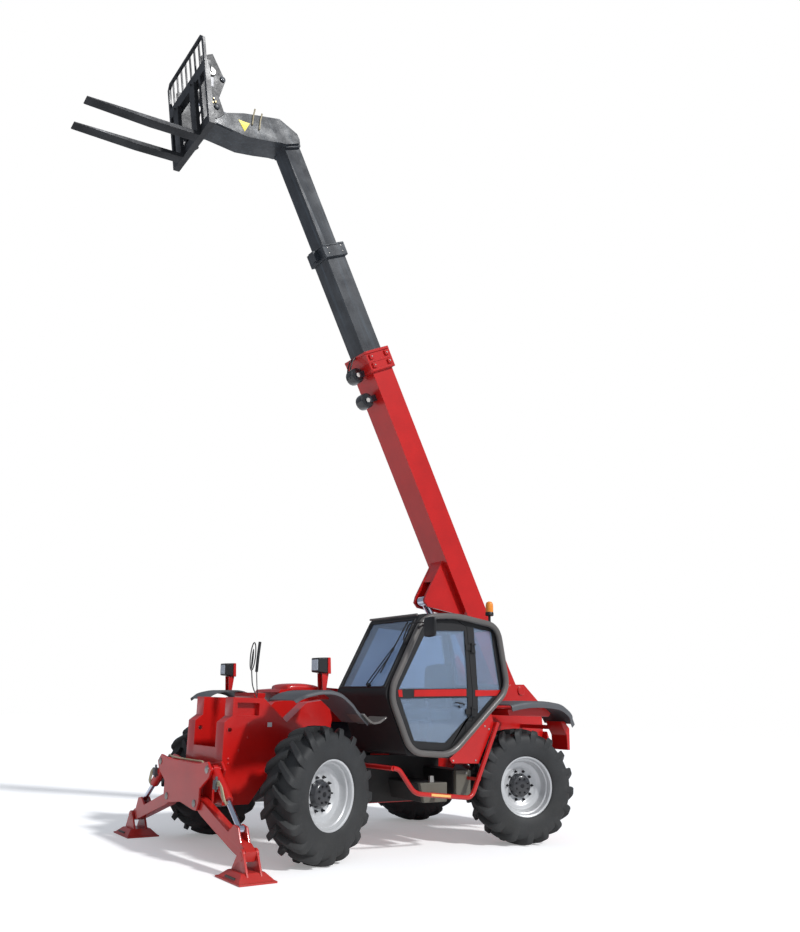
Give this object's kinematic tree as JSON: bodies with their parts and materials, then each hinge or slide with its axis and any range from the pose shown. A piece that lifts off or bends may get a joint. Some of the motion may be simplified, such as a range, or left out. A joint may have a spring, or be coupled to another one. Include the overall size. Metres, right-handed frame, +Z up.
{
  "type": "telehandler",
  "caption": "Telescopic handler with a raised boom in three box sections, fork carriage on a gooseneck head, side cab, stabiliser legs and steered lugged wheels.",
  "frame": {"origin": "ground level, under the middle of the whole machine as posed", "axes": "+X forward, +Y to the driver's left, +Z up"},
  "size_m": [6.5972, 3.0075, 8.6447],
  "materials": {
    "body_paint": "glossy red paint",
    "boom_paint": "satin black paint",
    "fork_steel": "dark worn steel",
    "loop_paint": "satin grey paint",
    "fender_plastic": "grained grey plastic",
    "trim_plastic": "black plastic",
    "seat_cover": "woven cloth",
    "window_glass": "tinted glass",
    "rod_chrome": "polished chrome",
    "engine_iron": "painted casting",
    "beacon_amber": "clear amber plastic",
    "rim_paint": "silver paint",
    "tyre_rubber": "moulded rubber"
  },
  "bodies": {
    "chassis": {"frame_left": "body_paint", "frame_right": "body_paint", "cross_members": "body_paint", "counterweight": "body_paint", "stabiliser_beam": "body_paint", "front_axle": "boom_paint", "rear_axle": "boom_paint", "cab_shell": "boom_paint", "cab_loop": "loop_paint", "cab_glass": "window_glass", "seat": "seat_cover", "console": "trim_plastic", "engine": "engine_iron", "engine_bay": "boom_paint", "fenders": "fender_plastic", "side_step": "body_paint", "service_boxes": "loop_paint", "lamps": "trim_plastic", "beacon": "beacon_amber", "mirrors": "trim_plastic"},
    "door": {"door_frame": "trim_plastic", "door_glass": "window_glass"},
    "hood": {"engine_hood": "body_paint"},
    "boom": {"boom_base": "body_paint", "hose_drums": "boom_paint"},
    "boom_mid": {"boom_mid": "boom_paint"},
    "boom_inner": {"boom_inner": "boom_paint"},
    "carriage": {"carriage": "boom_paint", "forks": "fork_steel"},
    "lift_barrel": {"lift_barrel": "body_paint"},
    "lift_rod": {"lift_rod": "rod_chrome"},
    "tilt_barrel": {"tilt_barrel": "boom_paint"},
    "tilt_rod": {"tilt_rod": "rod_chrome"},
    "knuckle_front_left": {"knuckle_front_left": "boom_paint"},
    "wheel_front_left": {"rim_front_left": "rim_paint", "tyre_front_left": "tyre_rubber"},
    "knuckle_front_right": {"knuckle_front_right": "boom_paint"},
    "wheel_front_right": {"rim_front_right": "rim_paint", "tyre_front_right": "tyre_rubber"},
    "knuckle_rear_left": {"knuckle_rear_left": "boom_paint"},
    "wheel_rear_left": {"rim_rear_left": "rim_paint", "tyre_rear_left": "tyre_rubber"},
    "knuckle_rear_right": {"knuckle_rear_right": "boom_paint"},
    "wheel_rear_right": {"rim_rear_right": "rim_paint", "tyre_rear_right": "tyre_rubber"},
    "leg_left": {"leg_left": "body_paint"},
    "leg_barrel_left": {"leg_barrel_left": "body_paint"},
    "leg_rod_left": {"leg_rod_left": "rod_chrome"},
    "pad_left": {"pad_left": "body_paint"},
    "leg_right": {"leg_right": "body_paint"},
    "leg_barrel_right": {"leg_barrel_right": "body_paint"},
    "leg_rod_right": {"leg_rod_right": "rod_chrome"},
    "pad_right": {"pad_right": "body_paint"}
  },
  "joints": [
    {"name": "steer_front_left", "type": "hinge", "parent": "chassis", "child": "knuckle_front_left", "pos_m": [0.70141, 0.8, 0.62], "axis": [0, 0, 1], "range_deg": [-51, 19]},
    {"name": "wheel_front_left", "type": "hinge", "parent": "knuckle_front_left", "child": "wheel_front_left", "pos_m": [0.64352, 1.00186, 0.62], "axis": [-0.2756, 0.9613, 0], "continuous": true},
    {"name": "steer_front_right", "type": "hinge", "parent": "chassis", "child": "knuckle_front_right", "pos_m": [0.70141, -0.8, 0.62], "axis": [0, 0, 1], "range_deg": [-51, 19]},
    {"name": "wheel_front_right", "type": "hinge", "parent": "knuckle_front_right", "child": "wheel_front_right", "pos_m": [0.75929, -1.00186, 0.62], "axis": [-0.2756, 0.9613, 0], "continuous": true},
    {"name": "steer_rear_left", "type": "hinge", "parent": "chassis", "child": "knuckle_rear_left", "pos_m": [-2.09859, 0.8, 0.62], "axis": [0, 0, 1], "range_deg": [-19, 51]},
    {"name": "wheel_rear_left", "type": "hinge", "parent": "knuckle_rear_left", "child": "wheel_rear_left", "pos_m": [-2.04071, 1.00186, 0.62], "axis": [0.2756, 0.9613, 0], "continuous": true},
    {"name": "steer_rear_right", "type": "hinge", "parent": "chassis", "child": "knuckle_rear_right", "pos_m": [-2.09859, -0.8, 0.62], "axis": [0, 0, 1], "range_deg": [-19, 51]},
    {"name": "wheel_rear_right", "type": "hinge", "parent": "knuckle_rear_right", "child": "wheel_rear_right", "pos_m": [-2.15648, -1.00186, 0.62], "axis": [0.2756, 0.9613, 0], "continuous": true},
    {"name": "boom_lift", "type": "hinge", "parent": "chassis", "child": "boom", "pos_m": [-2.81859, 0, 1.69], "axis": [0, -1, 0], "range_deg": [-63, 9]},
    {"name": "telescope_mid", "type": "slide", "parent": "boom", "child": "boom_mid", "axis": [0.4848, 0, 0.8746], "range_m": [-1.22, 2.18]},
    {"name": "telescope_inner", "type": "slide", "parent": "boom_mid", "child": "boom_inner", "axis": [0.4848, 0, 0.8746], "range_m": [-1.22, 2.18]},
    {"name": "carriage_tilt", "type": "hinge", "parent": "boom_inner", "child": "carriage", "pos_m": [1.93361, 0, 7.91795], "axis": [0, 1, 0], "range_deg": [-80, 44]},
    {"name": "lift_barrel_swing", "type": "hinge", "parent": "chassis", "child": "lift_barrel", "pos_m": [-2.73859, 0, 0.98], "axis": [0, -1, 0], "range_deg": [-58, 11]},
    {"name": "lift_rod_slide", "type": "slide", "parent": "lift_barrel", "child": "lift_rod", "axis": [0.5881, 0, 0.8088], "range_m": [-0.713, 0.11]},
    {"name": "tilt_barrel_swing", "type": "hinge", "parent": "boom_inner", "child": "tilt_barrel", "pos_m": [0.84779, 0, 8.14138], "axis": [0, 1, 0], "range_deg": [-9, 13]},
    {"name": "tilt_rod_slide", "type": "slide", "parent": "tilt_barrel", "child": "tilt_rod", "axis": [0.9985, 0, 0.0555], "range_m": [-0.359, 0.202]},
    {"name": "stabiliser_left", "type": "hinge", "parent": "chassis", "child": "leg_left", "pos_m": [1.50641, 0.33, 0.5], "axis": [-1, 0, 0], "range_deg": [-40, 4]},
    {"name": "leg_barrel_swing_left", "type": "hinge", "parent": "chassis", "child": "leg_barrel_left", "pos_m": [1.50641, 0.56, 0.82], "axis": [-1, 0, 0], "range_deg": [-53, 8]},
    {"name": "leg_rod_slide_left", "type": "slide", "parent": "leg_barrel_left", "child": "leg_rod_left", "axis": [0, 0.7849, -0.6196], "range_m": [-0.26, 0.035]},
    {"name": "pad_swivel_left", "type": "hinge", "parent": "leg_left", "child": "pad_left", "pos_m": [1.50641, 1.3, 0.2], "axis": [1, 0, 0], "range_deg": [-25, 25]},
    {"name": "stabiliser_right", "type": "hinge", "parent": "chassis", "child": "leg_right", "pos_m": [1.50641, -0.33, 0.5], "axis": [1, 0, 0], "range_deg": [-40, 4]},
    {"name": "leg_barrel_swing_right", "type": "hinge", "parent": "chassis", "child": "leg_barrel_right", "pos_m": [1.50641, -0.56, 0.82], "axis": [1, 0, 0], "range_deg": [-53, 8]},
    {"name": "leg_rod_slide_right", "type": "slide", "parent": "leg_barrel_right", "child": "leg_rod_right", "axis": [0, -0.7849, -0.6196], "range_m": [-0.26, 0.035]},
    {"name": "pad_swivel_right", "type": "hinge", "parent": "leg_right", "child": "pad_right", "pos_m": [1.50641, -1.3, 0.2], "axis": [1, 0, 0], "range_deg": [-25, 25]},
    {"name": "door_hinge", "type": "hinge", "parent": "chassis", "child": "door", "pos_m": [-1.19859, 1.132, 1.8], "axis": [0, 0, 1], "range_deg": [0, 110]},
    {"name": "hood_hinge", "type": "hinge", "parent": "chassis", "child": "hood", "pos_m": [-0.89859, -0.411, 1.605], "axis": [-1, 0, 0], "range_deg": [0, 60]}
  ],
  "couplings": [
    {"joint": "steer_front_right", "follows": "steer_front_left", "ratio": 1},
    {"joint": "steer_rear_left", "follows": "steer_front_left", "ratio": -1},
    {"joint": "steer_rear_right", "follows": "steer_front_left", "ratio": -1},
    {"joint": "telescope_inner", "follows": "telescope_mid", "ratio": 1},
    {"joint": "lift_barrel_swing", "follows": "boom_lift", "ratio": 0.87193},
    {"joint": "lift_rod_slide", "follows": "boom_lift", "m_per_rad": 0.63934},
    {"joint": "tilt_barrel_swing", "follows": "carriage_tilt", "ratio": -0.12009},
    {"joint": "tilt_rod_slide", "follows": "carriage_tilt", "m_per_rad": 0.24993},
    {"joint": "leg_barrel_swing_left", "follows": "stabiliser_left", "ratio": 1.244},
    {"joint": "leg_rod_slide_left", "follows": "stabiliser_left", "m_per_rad": 0.35856},
    {"joint": "leg_barrel_swing_right", "follows": "stabiliser_right", "ratio": 1.244},
    {"joint": "leg_rod_slide_right", "follows": "stabiliser_right", "m_per_rad": 0.35856}
  ]
}
